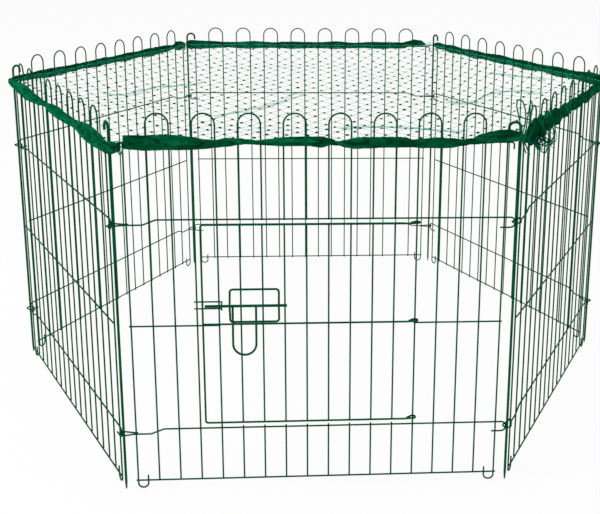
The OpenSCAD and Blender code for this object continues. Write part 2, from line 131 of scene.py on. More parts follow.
def tubeMesh(paths, radius, sides):
    # A thin tube with closed ends along each path
    vertices, faces = [], []
    for path in paths:
        base, last = len(vertices), len(path) - 1
        for n, p in enumerate(path):
            forward = (path[min(n + 1, last)] - path[max(n - 1, 0)]).normalized()
            side = forward.cross(upwards).normalized()
            up = side.cross(forward)
            for j in range(sides):
                b = 2 * math.pi * (j + 0.5) / sides
                vertices.append(p + (side * math.cos(b) + up * math.sin(b)) * radius)
        for n in range(last):
            for j in range(sides):
                k = (j + 1) % sides
                a = base + n * sides
                faces.append((a + j, a + sides + j, a + sides + k, a + k))
        faces.append(tuple(base + j for j in range(sides)))
        faces.append(tuple(base + last * sides + j for j in reversed(range(sides))))
    return vertices, faces


camera = {
    "place": (-0.0196, -1.9272, 0.8477),
    "pitch": 14.43,         # degrees down from level
    "yaw": -4.31,
    "roll": 0.81,
    "lens": 62.84,
    "sensor": 36,
    "shift": (-0.1333, -0.1375),
    "clip": (0.05, 60),
}


def makeCamera():
    data = bpy.data.cameras.new("photoCamera")
    data.lens, data.sensor_width = camera["lens"], camera["sensor"]
    data.shift_x, data.shift_y = camera["shift"]
    data.clip_start, data.clip_end = camera["clip"]
    eye = bpy.data.objects.new("photoCamera", data)
    bpy.context.scene.collection.objects.link(eye)
    aim = Euler((math.radians(90 - camera["pitch"]), 0, math.radians(camera["yaw"]))).to_matrix()
    turn = Matrix.Rotation(math.radians(camera["roll"]), 3, "Z")
    eye.matrix_world = Matrix.Translation(camera["place"]) @ (aim @ turn).to_4x4()
    bpy.context.scene.camera = eye


makeCamera()
print("camera placed")


def newMaterial(name, roughness, specular):
    material = bpy.data.materials.new(name)
    material.use_nodes = True
    nodes, links = material.node_tree.nodes, material.node_tree.links
    shader = nodes["Principled BSDF"]
    shader.inputs["Roughness"].default_value = roughness
    shader.inputs["Specular IOR Level"].default_value = specular
    return material, nodes, links, shader


def noiseFrom(nodes, links, place, scale, detail, roughness=0.5):
    texture = nodes.new("ShaderNodeTexNoise")
    texture.inputs["Scale"].default_value = scale
    texture.inputs["Detail"].default_value = detail
    texture.inputs["Roughness"].default_value = roughness
    links.new(place, texture.inputs["Vector"])
    return texture.outputs["Fac"]


def rampFrom(nodes, links, value, stops):
    ramp = nodes.new("ShaderNodeValToRGB")
    for element, (position, colour) in zip(ramp.color_ramp.elements, (stops[0], stops[-1])):
        element.position, element.color = position, (*colour, 1)
    for position, colour in stops[1:-1]:
        ramp.color_ramp.elements.new(position).color = (*colour, 1)
    links.new(value, ramp.inputs["Fac"])
    return ramp.outputs["Color"]


def rangeFrom(nodes, links, value, low, high, newLow, newHigh):
    mapped = nodes.new("ShaderNodeMapRange")
    for socket, number in zip(("From Min", "From Max", "To Min", "To Max"), (low, high, newLow, newHigh)):
        mapped.inputs[socket].default_value = number
    links.new(value, mapped.inputs["Value"])
    return mapped.outputs["Result"]


def mathFrom(nodes, links, operation, a, b):
    node = nodes.new("ShaderNodeMath")
    node.operation = operation
    for socket, value in zip(node.inputs, (a, b)):
        if isinstance(value, (int, float)):
            socket.default_value = value
        else:
            links.new(value, socket)
    return node.outputs["Value"]


def mixColours(nodes, links, share, a, b):
    # Each of a and b is a colour or a colour socket
    mix = nodes.new("ShaderNodeMix")
    mix.data_type = "RGBA"
    for socket, value in zip((mix.inputs[0], mix.inputs[6], mix.inputs[7]), (share, a, b)):
        if isinstance(value, tuple):
            socket.default_value = (*value, 1)
        else:
            links.new(value, socket)
    return mix.outputs[2]


def bumpFrom(nodes, links, height, strength, distance, under=None):
    bump = nodes.new("ShaderNodeBump")
    bump.inputs["Strength"].default_value = strength
    bump.inputs["Distance"].default_value = distance
    links.new(height, bump.inputs["Height"])
    if under is not None:
        links.new(under, bump.inputs["Normal"])
    return bump.outputs["Normal"]


# Powder coat on the wires. A noise's scale is in patches to the metre.
coat = {
    "depths": [
        (0.3, (0.0001, 0.052, 0.019)), (0.52, (0.0002, 0.077, 0.030)), (0.78, (0.0005, 0.108, 0.045)),
    ],
    "cloudScale": 45,
    "speck": (0.003, 0.15, 0.075),
    "speckScale": 1400,
    "speckShare": 0.35,
    "scuff": (0.07, 0.10, 0.06),
    "scuffScale": 260,
    "scuffShare": 0.35,
    "scuffHeights": (0.004, 0.05),      # between these a stake's scuffs fade out, in metres
    "roughness": 0.42,
    "roughnessRange": (0.34, 0.52),
    "roughnessScale": 220,
    "specular": 0.012,
    "peelScale": 900,
    "peelDepth": 0.00012,
}


def powderCoat(name, scuffedPoint=False):
    # Semi-gloss powder coat: cloudy depth of colour, fine orange peel, a few pale specks
    material, nodes, links, shader = newMaterial(name, coat["roughness"], coat["specular"])
    place = nodes.new("ShaderNodeTexCoord").outputs["Object"]
    colour = rampFrom(nodes, links, noiseFrom(nodes, links, place, coat["cloudScale"], 3), coat["depths"])
    specks = noiseFrom(nodes, links, place, coat["speckScale"], 1)
    specks = rangeFrom(nodes, links, specks, 0.70, 0.78, 0, coat["speckShare"])
    colour = mixColours(nodes, links, specks, colour, coat["speck"])
    if scuffedPoint:
        height = nodes.new("ShaderNodeSeparateXYZ")
        links.new(place, height.inputs["Vector"])
        low = rangeFrom(nodes, links, height.outputs["Z"], *coat["scuffHeights"], 1, 0)
        scratches = noiseFrom(nodes, links, place, coat["scuffScale"], 4, 0.7)
        scuffs = mathFrom(nodes, links, "MULTIPLY", low, scratches)
        scuffs = rangeFrom(nodes, links, scuffs, 0.34, 0.5, 0, coat["scuffShare"])
        colour = mixColours(nodes, links, scuffs, colour, coat["scuff"])
    links.new(colour, shader.inputs["Base Color"])
    dull = noiseFrom(nodes, links, place, coat["roughnessScale"], 2)
    links.new(rangeFrom(nodes, links, dull, 0.3, 0.7, *coat["roughnessRange"]), shader.inputs["Roughness"])
    peel = noiseFrom(nodes, links, place, coat["peelScale"], 2)
    links.new(bumpFrom(nodes, links, peel, 0.3, coat["peelDepth"]), shader.inputs["Normal"])
    return material


fabric = {
    # From the painted shade of deep creases, through the cloth's own green, to the painted highlight of lit ridges
    "depths": [
        (0.15, (0.0003, 0.012, 0.004)), (0.5, (0.0006, 0.062, 0.020)), (0.92, (0.003, 0.155, 0.064)),
    ],
    "mottle": 0.16,                     # how far clouds and streaks shift the cloth's depth of colour
    "cloudScale": 60,
    "streakScale": (70, 900, 1),        # along the sleeve, round it
    "weft": (0.003, 0.155, 0.064),
    "weftShare": 0.22,
    "threadsPerMetre": 1500,
    "creaseScale": 420,
    "roughness": 0.5,
    "specular": 0.0,
    "sheen": 0.03,
    "sheenTint": (0.0, 0.8, 0.4, 1),
}


def hemFabric(name):
    # Thin woven sleeve: the fold attribute holds painted shade, which darkens its creases, and painted highlight,
    # which lights its ridges
    material, nodes, links, shader = newMaterial(name, fabric["roughness"], fabric["specular"])
    place = nodes.new("ShaderNodeTexCoord")
    lengthways = nodes.new("ShaderNodeMapping")
    lengthways.inputs["Scale"].default_value = fabric["streakScale"]
    links.new(place.outputs["UV"], lengthways.inputs["Vector"])
    cloud = noiseFrom(nodes, links, place.outputs["Object"], fabric["cloudScale"], 3)
    streaks = noiseFrom(nodes, links, lengthways.outputs["Vector"], 1, 3, 0.6)
    # The fold attribute is painted shade and painted highlight, worked out from the sleeve's creases and ridges
    fold = nodes.new("ShaderNodeAttribute")
    fold.attribute_name = "fold"
    depth = fold.outputs["Fac"]
    for pattern in (cloud, streaks):
        shift = rangeFrom(nodes, links, pattern, 0.3, 0.7, -fabric["mottle"], fabric["mottle"])
        depth = mathFrom(nodes, links, "ADD", depth, shift)
    # Painted shade and painted highlight, with the random mottle added, become the cloth's colour
    colour = rampFrom(nodes, links, depth, fabric["depths"])
    split = nodes.new("ShaderNodeSeparateXYZ")
    links.new(place.outputs["UV"], split.inputs["Vector"])
    turns = 2 * math.pi * fabric["threadsPerMetre"]
    warp, weft = (
        mathFrom(nodes, links, "SINE", mathFrom(nodes, links, "MULTIPLY", split.outputs[axis], turns), 0)
        for axis in ("X", "Y")
    )
    weave = mathFrom(nodes, links, "MULTIPLY", warp, weft)
    tint = rangeFrom(nodes, links, weave, -1, 1, 0, fabric["weftShare"])
    links.new(mixColours(nodes, links, tint, colour, fabric["weft"]), shader.inputs["Base Color"])
    shader.inputs["Sheen Weight"].default_value = fabric["sheen"]
    shader.inputs["Sheen Tint"].default_value = fabric["sheenTint"]
    crease = noiseFrom(nodes, links, place.outputs["Object"], fabric["creaseScale"], 3, 0.6)
    under = bumpFrom(nodes, links, crease, 0.35, 0.0006)
    links.new(bumpFrom(nodes, links, weave, 0.3, 0.0001, under), shader.inputs["Normal"])
    return material


thread = {
    "single": [(0.3, (0.012, 0.29, 0.16)), (0.7, (0.04, 0.49, 0.30))],
    "packed": [(0.3, (0.0003, 0.016, 0.008)), (0.7, (0.0018, 0.045, 0.022))],
    "cloudScale": 700,
    "roughness": 0.55,
    "specular": 0.0,
}


def netThread(name):
    # Pale thin thread, which packs to a dark green in the knots: the tied attribute tells them apart
    material, nodes, links, shader = newMaterial(name, thread["roughness"], thread["specular"])
    place = nodes.new("ShaderNodeTexCoord").outputs["Object"]
    cloud = noiseFrom(nodes, links, place, thread["cloudScale"], 2)
    single, packed = (rampFrom(nodes, links, cloud, thread[key]) for key in ("single", "packed"))
    tied = nodes.new("ShaderNodeAttribute")
    tied.attribute_name = "tied"
    links.new(mixColours(nodes, links, tied.outputs["Fac"], single, packed), shader.inputs["Base Color"])
    links.new(bumpFrom(nodes, links, cloud, 0.3, 0.0002), shader.inputs["Normal"])
    return material


drawstring = {
    "diameter": 2 * mm,
    "colours": [(0.3, (0.0006, 0.050, 0.020)), (0.7, (0.006, 0.19, 0.085))],
    "strandScale": 1100,
    "roughness": 0.6,
    "specular": 0.0,
}


def braidedCord(name):
    # Fine strands, which stand up as a braid's do
    material, nodes, links, shader = newMaterial(name, drawstring["roughness"], drawstring["specular"])
    place = nodes.new("ShaderNodeTexCoord").outputs["Object"]
    strands = noiseFrom(nodes, links, place, drawstring["strandScale"], 3, 0.6)
    links.new(rampFrom(nodes, links, strands, drawstring["colours"]), shader.inputs["Base Color"])
    links.new(bumpFrom(nodes, links, strands, 0.6, 0.0003), shader.inputs["Normal"])
    return material


materials = {
    "powder_coat": powderCoat("powderCoat"),
    "stake_coat": powderCoat("stakeCoat", scuffedPoint=True),
    "net_thread": netThread("netThread"),
    "hem_fabric": hemFabric("hemFabric"),
    "drawstring": braidedCord("drawstringBraid"),
}
slotOf = {part["node"]: part["material_slot"] for part in frame["record"]["subparts"]}


def coatWith(piece, slotName):
    piece.data.materials.clear()
    piece.data.materials.append(materials[slotName])


def dress(piece, slotName, body, *nodes):
    # Gives a finished piece its material, its body and the nodes that it stands for
    coatWith(piece, slotName)
    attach(piece, body)
    if nodes:
        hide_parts(*nodes)


for node, part in frame["nodes"].items():
    coatWith(part, slotOf[node])
print("wires coated")


# The strings, with lengths in metres and routes in millimetres. The two ends run from the front right
# stake: to its right, inwards and up. The slack lies over the right front hem, along that panel.
strings = {
    "drawstringLeft": {"length": 0.138, "body": "hem_front", "node": "drawstring_left", "route": [
        (-5.5, -7.6, 541), (-3, -8, 540), (0, -8.6, 538), (-1.5, -8.6, 546), (-4.5, -8, 560),
        (-8, -7.6, 574), (-9.5, -7.4, 583), (-7.5, -7.2, 588.5), (-3, -7.2, 588), (1, -7.2, 581),
        (3.5, -7.6, 571), (3.5, -8, 559), (2, -8.6, 548), (0, -9.6, 539), (0.5, -11, 531),
        (2.5, -11.5, 523), (6, -11.5, 514),
    ]},
    "drawstringRight": {"length": 0.139, "body": "hem_front", "node": "drawstring_right", "route": [
        (9.9, 1.1, 536), (8.6, -1.4, 536), (6, -5, 537), (2, -9.4, 537), (4, -10.4, 545), (5.5, -10, 560),
        (7.5, -9.4, 574), (9, -9, 583.5), (10.6, -8.8, 585.5), (11.8, -9, 581), (11, -9.6, 568),
        (8.5, -10, 554), (5, -11, 543), (2, -11.8, 536), (4, -12.6, 528), (7.5, -13, 520), (11, -13, 512),
    ]},
    "drawstringLoose": {"length": 0.185, "body": "hem_right_front", "node": "drawstring_loose", "route": [
        (-262, -12.6, 530), (-254, -13, 525), (-244, -13, 517), (-235, -12, 508), (-228, -11.5, 507),
        (-222, -12.4, 515), (-218, -12.8, 527), (-213, -12.8, 540), (-207, -12.8, 549),
        (-200, -12.8, 551), (-194, -12.8, 546), (-191, -12.8, 536), (-192, -12.8, 525),
        (-197, -12.8, 517), (-204, -13.2, 516), (-210, -14.2, 522), (-214, -15.4, 531),
        (-222, -15.4, 541), (-232, -13, 547),
    ]},
}


def cordPiece(name, points):
    curve = bpy.data.curves.new(name, "CURVE")
    curve.dimensions = "3D"
    curve.bevel_depth = drawstring["diameter"] / 2
    curve.bevel_resolution = 3
    curve.resolution_u = 6
    curve.use_fill_caps = True
    spline = curve.splines.new("BEZIER")
    spline.bezier_points.add(len(points) - 1)
    for bend, place in zip(spline.bezier_points, points):
        bend.co = place
        bend.handle_left_type = bend.handle_right_type = "AUTO"
    piece = bpy.data.objects.new(name, curve)
    bpy.context.scene.collection.objects.link(piece)
    return piece


def atFrontRight(x, y, z):
    return frontRight + Vector((x * mm, y * mm, z * mm))


def makeDrawstring():
    for name, string in strings.items():
        if string["body"] == "hem_front":
            points = [atFrontRight(*place) for place in string["route"]]
        else:
            points = [panelPoint(1, s * mm, y * mm, z * mm) for s, y, z in string["route"]]
        piece = cordPiece(name, points)
        dress(piece, "drawstring", string["body"], string["node"])


# The knot's sizes and place from the front right stake, in millimetres
knot = {"place": (1, -10, 538), "radius": 2.9, "swell": 1.15, "depth": 1.3, "flatness": 0.8, "strand": 1.0}


def makeKnot():
    # Overhand knot: one strand that goes twice round and three times over, and closes on itself
    steps, sides = 96, 8
    centre = atFrontRight(*knot["place"])
    line = []
    for n in range(steps):
        a = 2 * math.pi * n / steps
        ring = knot["radius"] + knot["swell"] * math.cos(3 * a)
        x, z = ring * math.cos(2 * a), ring * math.sin(2 * a) * knot["flatness"]
        line.append(Vector((x, knot["depth"] * math.sin(3 * a), z)) * mm)
    vertices, faces = [], []
    for n in range(steps):
        forward = (line[(n + 1) % steps] - line[n - 1]).normalized()
        side = forward.cross(Vector((0, 1, 0.001))).normalized()
        up = side.cross(forward)
        for j in range(sides):
            b = 2 * math.pi * j / sides
            aside = (side * math.cos(b) + up * math.sin(b)) * knot["strand"] * mm
            vertices.append(centre + line[n] + aside)
            k, nextRing = (j + 1) % sides, (n + 1) % steps * sides
            faces.append((n * sides + j, n * sides + k, nextRing + k, nextRing + j))
    piece = meshPiece("drawstringKnot", vertices, faces)
    dress(piece, "drawstring", "hem_front", "drawstring_knot")


makeDrawstring()
makeKnot()
print("drawstring tied")


hem = {
    "inner": -3.75 * mm,        # its face beside the rail
    "fullDepth": 7.6 * mm,
    "fullHalf": 9 * mm,         # a sleeve whose half height is less is also less deep
    "sides": 40,
    "step": 1.3 * mm,
    "cornerRound": 8 * mm,
    "twistLength": 46 * mm,
    "twistReach": 30 * mm,      # how far from a turn the cloth is drawn together
    "sway": 1.1,                # how far its middle line wanders, in millimetres
    "mouth": ((0.90, -0.4), (0.82, 2.5), (0.6, 5)),     # share of the end's size, and millimetres inside
    "mouthShade": 0.1,
    "flat": (0.56, 0.024),
    "flatEnd": (0.03, 0.024),
}
# The folds' fineness along the sleeve and round it, and how much of its depth they take
hemFolds = {
    "slow": (14, 1.2, 0.22),
    "long": (30, 2.4, 0.24),
    "fine": (70, 5, 0.07),
    "gather": (150, 0.8, 0.26),
    "small": (290, 1.3, 0.08),
}
# Narrow creases along the folds: their width in the fold's noise, their depth there, how much of it cuts
# into the sleeve, and how much painted shade it puts on the cloth; then the flat cloth's painted lightness and the
# painted highlight where it lifts
hemCreases = {
    "slow": (0.045, 0.8),
    "long": (0.05, 0.55),
    "pinch": 0.08,
    "valleyCut": 0.18,
    "pinchCut": 0.16,
    "valleyShade": 0.38,
    "pinchShade": 0.26,
    "shade": 0.56,          # of flat cloth
    "liftShade": 1.35,
}
# Place along the panel, lower and upper edge from the top rail's axis, and how bunched the cloth is there
hemShapes = {
    "front": [
        (-264, -8, 13, 0.1), (-236, -10, 13, 0.1), (-207, -9, 13.5, 0.15), (-190, -9, 12.5, 0.2),
        (-170, -9, 10, 0.4), (-154, -8, 6.5, 0.7), (-139, -6, 5.7, 0.8), (-125, -4.4, 8.5, 0.6),
        (-107, -1.8, 7.8, 0.8), (-98, -1, 6.2, 1), (-82, -2.4, 4.4, 1), (-70, -3, 6, 0.9),
        (-43, -3.8, 9.8, 0.4), (-12, -4.2, 10, 0.3), (5, -6, 10.5, 0.4), (18, -3, 7, 0.9),
        (28, -3.6, 3, 1), (39, -6.6, 5, 0.8), (52, -7.8, 8, 0.4), (68, -7.4, 9.2, 0.2),
        (90, -7, 9.6, 0.2), (110, -7, 9.6, 0.3), (123, -6.8, 7.8, 0.6), (131, -6.8, 5, 0.9),
        (144, -7.8, 6.4, 0.6), (165, -7.4, 8.2, 0.3), (186, -6.7, 7.8, 0.4), (201, -4.6, 6, 0.7),
        (215, -2.7, 7.2, 0.9), (228, -1.8, 13.5, 0.6), (243, -1, 17, 0.5), (257, 0, 19, 0.5),
        (267, 1, 20, 0.6), (276, 1.5, 18.5, 0.8), (283, 4, 15, 1),
    ],
    "right_front": [
        (-291, 3, 9, 1), (-284, -2, 14, 1), (-272, -4, 21, 0.9), (-256, -12, 24, 1), (-240, -8, 27, 0.8),
        (-222, -14, 23, 1), (-205, -10, 27, 1), (-186, -13, 20, 0.9), (-168, -8, 25, 1),
        (-146, -10, 17, 0.9), (-120, -6, 21, 1), (-94, -11, 16, 0.8), (-66, -6, 18, 1),
        (-30, -10, 13, 0.8), (0, -5, 16, 0.9), (40, -9, 12, 0.7), (80, -6, 15, 0.8), (120, -10, 11, 0.6),
        (170, -6, 14, 0.8), (220, -9, 11, 0.6), (262, -6, 13, 0.8), (286, -5, 9, 1), (294, -2, 6, 1),
    ],
    "right_back": [
        (-294, -3, 6, 1), (-284, -8, 12, 0.9), (-250, -10, 14, 0.6), (-200, -7, 10, 0.8),
        (-150, -9, 12, 0.5), (-100, -6, 9, 0.8), (-50, -9, 11, 0.5), (0, -6, 9, 0.8), (40, -8, 12, 0.5),
        (90, -6, 9, 0.9), (130, -9, 11, 0.5), (180, -6, 9, 0.7), (220, -8, 11, 0.5), (250, -4, 9, 0.7),
        (272, -5, 11, 0.8), (284, -3, 9, 1), (291, 0, 6, 1),
    ],
    "back": [
        (-266, 1, 8, 0.9), (-256, -1, 14, 0.7), (-240, 0, 16, 0.6), (-228, -2, 13, 0.8),
        (-212, -6, 9, 0.8), (-150, -7, 10.5, 0.5), (-110, -5, 8, 0.8), (-60, -8, 11, 0.5),
        (-10, -6, 9, 0.7), (40, -8, 10.5, 0.5), (90, -6, 8, 0.8), (140, -8, 10.5, 0.5), (190, -5, 8, 0.9),
        (236, -8, 10.5, 0.6), (279, -9, 12, 0.6), (288, -6, 9, 1),
    ],
    "left_back": [
        (-284, -5, 8, 0.9), (-268, -9, 12, 0.8), (-252, -8, 12, 0.9), (-240, -3, 7, 1),
        (-200, -7, 10, 0.7), (-150, -9, 10, 0.5), (-100, -6, 8, 0.8), (-60, -8, 10, 0.6),
        (-20, -6, 8, 0.8), (30, -7, 10, 0.5), (80, -5, 7.5, 0.9), (120, -6, 9, 0.6), (180, -8, 10, 0.6),
        (235, -5, 9, 0.8), (270, -3, 8, 0.9), (288, -1, 5, 1),
    ],
    "left_front": [
        (-292, -3, 6, 1), (-276, -5, 7, 0.9), (-255, -7, 9, 0.7), (-225, -10, 11, 0.5),
        (-190, -13, 13, 0.3), (-160, -13.5, 13, 0.4), (-120, -11, 11, 0.5), (-80, -8, 8, 0.8),
        (-45, -4, 6.5, 1), (-20, -4, 6, 1), (15, -8, 9.5, 0.7), (50, -9.5, 11, 0.5), (90, -8, 10, 0.6),
        (130, -6, 8, 0.9), (158, -8, 9, 0.7), (185, -13, 12, 0.5), (215, -15, 14, 0.5),
        (250, -14, 13, 0.5), (275, -13, 11, 0.8), (286, -10, 5, 0.9), (293, -5, -1, 1),
    ],
}
# Where a sleeve has turned over on itself, along its panel
hemTwists = {
    "front": [-100, 26, 216], "right_front": [-214, -130, -50, 60, 180], "right_back": [-180, -60, 100],
    "back": [-110, 60, 195], "left_back": [-238, -90, 90], "left_front": [-35, 140],
}
# How much each sleeve is crumpled across, and the painted light that makes its cloth lighter, or the painted shade
# that makes it darker, for how the light falls on that side
hemCrumple = {
    "front": 0.35, "right_front": 1.3, "right_back": 0.8, "back": 0.6, "left_back": 0.9, "left_front": 0.6,
}
hemPaintedLight = {
    "front": 0, "right_front": -0.02, "right_back": -0.06, "back": -0.1, "left_back": -0.08,
    "left_front": 0.17,
}


def hemPoint(i, s, y, z):
    # A place along panel i's hem, which goes on round the stake past the panel's two ends
    past = abs(s) - panelWidth / 2
    if past <= 0:
        return panelPoint(i, s, y, z)
    corner = corners[i] if s < 0 else corners[(i + 1) % 6]
    neighbour = (i - 1) % 6 if s < 0 else (i + 1) % 6
    inwards = Vector((-along(i).y, along(i).x, 0))
    most = math.acos(along(i).dot(along(neighbour)))
    angle = min(past / hem["cornerRound"], most)
    turn = Matrix.Rotation(-angle if s < 0 else angle, 3, "Z")
    beyond = past - angle * hem["cornerRound"]
    forward = turn @ (along(i) * (-1 if s < 0 else 1))
    return corner + turn @ (inwards * y) + forward * beyond + Vector((0, 0, z))


def ravine(value, width, depth=1.0):
    # A narrow valley where a noise passes through nought
    return math.exp(-(value / width) ** 2) * depth


def clothWave(kind, seed, s, c, w, shift=0):
    lengthways, around = hemFolds[kind][:2]
    return noise.noise(Vector((s * lengthways + shift, c * around, w * around)) + seed)


def clothFold(seed, s, c, w, crumple, drawn):
    # How far the cloth lifts at a place, and how deep it lies there in a valley and in a pinch
    slow, long, fine = (clothWave(kind, seed, s, c, w) for kind in ("slow", "long", "fine"))
    gather = clothWave("gather", seed, s, c, w, 5 * slow)
    small = clothWave("small", seed, s, c, w, 8 * long)
    tight = 0.4 + 0.6 * drawn
    valley = ravine(slow, *hemCreases["slow"]) + ravine(long, *hemCreases["long"]) * tight
    pinch = ravine(gather, hemCreases["pinch"]) * crumple * tight
    ofSlow, ofLong, ofFine, ofGather, ofSmall = (row[2] for row in hemFolds.values())
    lift = (
        slow * ofSlow + long * ofLong * tight + fine * ofFine
        + (gather * ofGather + small * ofSmall) * crumple
        - valley * hemCreases["valleyCut"] - pinch * hemCreases["pinchCut"]
    )
    return lift, valley, pinch


def tuckMouth(vertices, faces, paintedShading, places, ring, step):
    # Open mouth: the cloth turns in at the sleeve's end and closes a little way inside
    sides = hem["sides"]
    first = list(range(ring * sides, ring * sides + sides))
    middle = sum((vertices[v] for v in first), Vector()) / sides
    inner = (ring + step * 5) * sides
    inwards = (sum((vertices[inner + j] for j in range(sides)), Vector()) / sides - middle).normalized()
    edge = first
    for inset, back in hem["mouth"]:
        new = []
        for v in first:
            new.append(len(vertices))
            vertices.append(middle + (vertices[v] - middle) * inset + inwards * back * mm)
            # The cloth turned in at the mouth gets painted shade, for the shadow inside the sleeve's end
            paintedShading.append(hem["mouthShade"])
            places.append(places[v])
        for j in range(sides):
            k = (j + 1) % sides
            quad = (edge[j], edge[k], new[k], new[j])
            faces.append(quad[::-1] if step > 0 else quad)
        edge = new
    faces.append(tuple(edge) if step < 0 else tuple(edge[::-1]))


def hemSleeve(name, i, stations, twists, crumple, paintedLight, hemName, outer=0.0):
    stations = [(s * mm, low * mm, high * mm, bunch) for s, low, high, bunch in stations]
    start, end = stations[0][0], stations[-1][0]
    rings, sides = round((end - start) / hem["step"]), hem["sides"]
    face = hem["inner"] - outer
    vertices, faces, paintedShading, places = [], [], [], []
    seed = Vector((11.3 * i, 7.7 * i, 3.1 * i + outer * 900))
    for n in range(rings + 1):
        s = start + (end - start) * n / rings
        low, high, bunch = (eased(stations, s, column) for column in (1, 2, 3))
        half = (high - low) / 2
        depth = hem["fullDepth"] / 2 * (0.55 + 0.45 * min(1, half / hem["fullHalf"]))
        turned = sum(math.pi * smoothStep(0.5 + (s - t * mm) / hem["twistLength"]) for t in twists)
        near = min([abs(s - t * mm) for t in twists] + [1])
        drawn = max(bunch, 1 - near / hem["twistReach"])
        sway = noise.noise(Vector((s * 34, 5.1, 2.2)) + seed) * hem["sway"] * mm * crumple
        for j in range(sides):
            a = 2 * math.pi * j / sides
            c, w = math.cos(a + turned), math.sin(a + turned)
            lift, valley, pinch = clothFold(seed, s, c, w, crumple, drawn)
            y = face - depth + depth * math.sin(a) * (0.98 + lift)
            flat = math.copysign(abs(math.cos(a)) ** 0.8, math.cos(a))
            z = railAxis + (low + high) / 2 + sway + half * flat * (0.95 + lift * 0.5)
            vertices.append(hemPoint(i, s, min(y, face), z))
            # Painted shade in valleys and pinches, painted highlight where the cloth lifts, and each sleeve's
            # painted light
            shade = (
                hemCreases["shade"] + paintedLight + lift * hemCreases["liftShade"]
                - valley * hemCreases["valleyShade"] - pinch * hemCreases["pinchShade"]
            )
            paintedShading.append(max(0.0, min(1.0, shade)))
            places.append((s, a * half / 2))
    for n in range(rings):
        for j in range(sides):
            k = (j + 1) % sides
            faces.append((n * sides + j, n * sides + k, (n + 1) * sides + k, (n + 1) * sides + j))
    for ring, step in ((0, 1), (rings, -1)):
        tuckMouth(vertices, faces, paintedShading, places, ring, step)
    piece = meshPiece(name, vertices, faces)
    # The painted shading goes to the fold attribute, which the cloth's material reads
    pointValues(piece, "fold", paintedShading)
    layer = piece.data.uv_layers.new(name="cloth")
    for loop in piece.data.loops:
        layer.data[loop.index].uv = places[loop.vertex_index]
    dress(piece, "hem_fabric", hemName, hemName)
    return piece


for number, panel in enumerate(panelNames):
    sleeve = hemSleeve(
        panel + "_hem_sleeve", number, hemShapes[panel], hemTwists[panel], hemCrumple[panel],
        hemPaintedLight[panel], "hem_" + panel,
    )

# The front sleeve's ragged end, drawn round the front left stake
raggedEnd = [
    (-292, -8, 1, 1), (-287, -13, 4, 0.6), (-279, -14, 5, 0.6), (-272, -11, 3, 0.8), (-268, -6, 0, 1),
]
raggedSleeve = hemSleeve("front_hem_ragged_end", 0, raggedEnd, [-279], 0.8, 0, "hem_front", outer=4.5 * mm)
print("hems gathered")


net = {
    "pitch": 29.5 * mm,     # from knot to knot along a row
    "rowPitch": 27 * mm,    # from row to row
    "farStretch": 0.13,     # how much more its rows are pulled apart in the far half
    "reach": (0.62, 0.56),  # how far its knots are laid each way, before it is cut to the run
    "seed": 7,
    "drift": 5,             # how far its rows wander, in millimetres, and how often to the metre
    "driftScale": 5,
    "scatter": 0.9,         # how far each knot is off its place, in millimetres
    "calm": 0.06,           # how far in from the rails its knots begin to stray
    "thread": 0.55 * mm,
    "threadSway": 0.6,
    "threadSag": 0.5 * mm,
    "shortest": 2 * mm,     # a thread that is cut shorter is left out
    "untied": 3 * mm,       # knots nearer to the border cord are left out
    "beside": 8 * mm,       # threads nearer to it have more points, and go clear of the wires
    "knotLength": 4.5 * mm,
    "knotWidth": 2.7 * mm,
    "knotRings": ((-0.34, 0.8), (0.0, 1.0), (0.34, 0.8)),   # places along a knot, and its width there
    "knotTurn": 0.35,       # how much the knots differ in direction and in size
    "knotSizes": 0.12,
    "height": railTop + 0.9 * mm,
    "edge": 2.7 * mm,       # how far its border cord lies outside the upright wires' plane
    "borderCord": 0.6 * mm,
    "borderSteps": 40,
    "sag": 14 * mm,
    "sagReach": 0.22,       # how far in from the rails it has its full sag
    "wave": 4,              # the height of its gentle waves, in millimetres, and how often to the metre
    "waveScale": 6,
    "waveReach": 0.05,
    "legRoom": 2.3 * mm,    # how far its threads keep aside of an upright's axis
    "legReach": 5 * mm,     # how near to the uprights' plane they begin to move aside
    "stakeRoom": 3.2 * mm,  # how far they keep from a stake's axis
    "foldedAngle": 10,      # degrees between a side panel and the front one when the run is folded
}
# Folds left in the net by its packing: how far each draws the net in, and its places in metres on the
# ground plan
netCreases = [
    (14 * mm, [(-0.365, -0.092), (-0.328, -0.097), (-0.311, -0.046), (-0.288, -0.007), (-0.257, 0.009),
               (-0.226, 0.025), (-0.204, 0.067)]),
    (14 * mm, [(-0.164, -0.285), (-0.134, -0.261), (-0.113, -0.221), (-0.091, -0.204), (-0.072, -0.173),
               (-0.053, -0.135), (-0.025, -0.065)]),
    (14 * mm, [(0.233, -0.134), (0.254, -0.159), (0.277, -0.148), (0.305, -0.083), (0.327, -0.062),
               (0.351, -0.054), (0.377, -0.072), (0.401, -0.113)]),
    (14 * mm, [(0.348, 0.123), (0.385, 0.086), (0.420, 0.062), (0.447, 0.027)]),
    (38 * mm, [(0.035, -0.398), (0.069, -0.384), (0.105, -0.378), (0.134, -0.384), (0.171, -0.398),
               (0.211, -0.43)]),
]
crease = {
    "places": 40,           # along a fold, where its distance is tried
    "pull": 0.85,
    "ripple": 7,            # in millimetres, as the next four are
    "strandGap": 4,
    "strandSpread": 12,
    "strandWave": 6,
    "strandLift": 3,
    "taper": 0.12,          # share of the fold's run over which it dies out at each end
    "strands": 4,
    "strandSteps": 70,
}
outward = [Vector((along(i).y, -along(i).x, 0)) for i in range(6)]


def outsideBy(p):
    # How far a point lies outside the nearest panel's plane, and which panel that is
    return max(((p - corners[i]).dot(outward[i]), i) for i in range(6))


def netHeight(p):
    edge = -outsideBy(p)[0]
    slack = smoothStep(edge / net["sagReach"])
    wave = noise.noise(Vector((p.x * net["waveScale"], p.y * net["waveScale"], 2.4))) * net["wave"] * mm
    return net["height"] - (net["sag"] * slack - wave * smoothStep(edge / net["waveReach"]))


